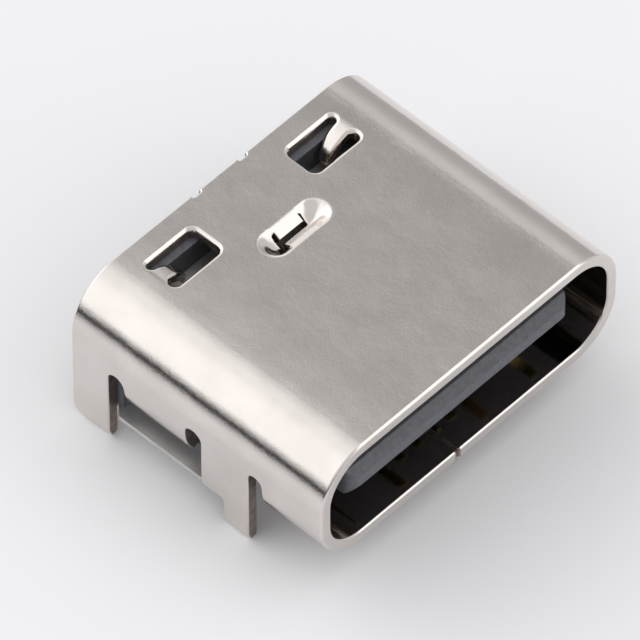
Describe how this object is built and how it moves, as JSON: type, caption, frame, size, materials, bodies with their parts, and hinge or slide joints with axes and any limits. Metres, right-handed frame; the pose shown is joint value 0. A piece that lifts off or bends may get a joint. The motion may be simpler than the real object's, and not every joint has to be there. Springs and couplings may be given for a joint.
{
  "type": "usb-c socket",
  "caption": "Board-mounted USB-C socket: wrapped sheet-metal shell with solder legs, spring tabs and a lance, round a moulded tongue with gold contacts and flat solder tails.",
  "frame": {"origin": "on the board surface, at the middle of the shell's width and length", "axes": "+X across the opening, +Y from the opening towards the solder tails, +Z away from the board"},
  "size_m": [0.009, 0.0077, 0.0039],
  "materials": {
    "nickel_shell": "satin nickel plate",
    "plain_steel": "dull tin plate",
    "black_plastic": "fine grained moulding",
    "stiffener_steel": "satin",
    "nickel_pad": "satin nickel plate",
    "gold_contact": "gold plate"
  },
  "bodies": {
    "root": {"shell": "nickel_shell", "bottom_plate": "plain_steel", "housing": "black_plastic", "mid_plate": "stiffener_steel", "upper_ground_pad": "nickel_pad", "lower_ground_pad": "nickel_pad", "contact_a1": "gold_contact", "contact_a4": "gold_contact", "contact_a5": "gold_contact", "contact_a6": "gold_contact", "contact_a7": "gold_contact", "contact_a8": "gold_contact", "contact_a9": "gold_contact", "contact_a12": "gold_contact", "contact_b1": "gold_contact", "contact_b4": "gold_contact", "contact_b5": "gold_contact", "contact_b6": "gold_contact", "contact_b7": "gold_contact", "contact_b8": "gold_contact", "contact_b9": "gold_contact", "contact_b12": "gold_contact"}
  },
  "joints": []
}
